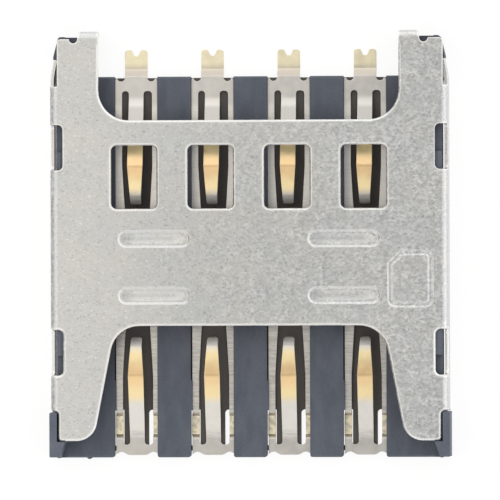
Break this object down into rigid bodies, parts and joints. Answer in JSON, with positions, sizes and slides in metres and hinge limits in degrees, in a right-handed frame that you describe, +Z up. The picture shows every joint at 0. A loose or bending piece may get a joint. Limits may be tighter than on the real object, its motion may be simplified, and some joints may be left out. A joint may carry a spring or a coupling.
{
  "type": "sim card socket",
  "caption": "Push-pull socket for a micro SIM card: a stamped steel shell over a moulded floor with two rows of sprung contacts, soldered flat on a board.",
  "frame": {"origin": "on the board plane, under the middle of the part's length and width", "axes": "+Z up off the board, +Y the way the card goes in, +X across the card"},
  "size_m": [0.0132, 0.0142, 0.0014],
  "materials": {
    "housing_plastic": "fine matt moulding in slate grey",
    "shell_steel": "satin rolled sheet with bright cut edges",
    "contact_metal": "copper alloy with a satin nickel plate, gold flash on the beams and the solder ends"
  },
  "bodies": {
    "root": {"housing": "housing_plastic", "shell": "shell_steel", "rear_contact_1": "contact_metal", "rear_contact_2": "contact_metal", "rear_contact_3": "contact_metal", "rear_contact_4": "contact_metal", "front_contact_1": "contact_metal", "front_contact_2": "contact_metal", "front_contact_3": "contact_metal", "front_contact_4": "contact_metal"}
  },
  "joints": []
}
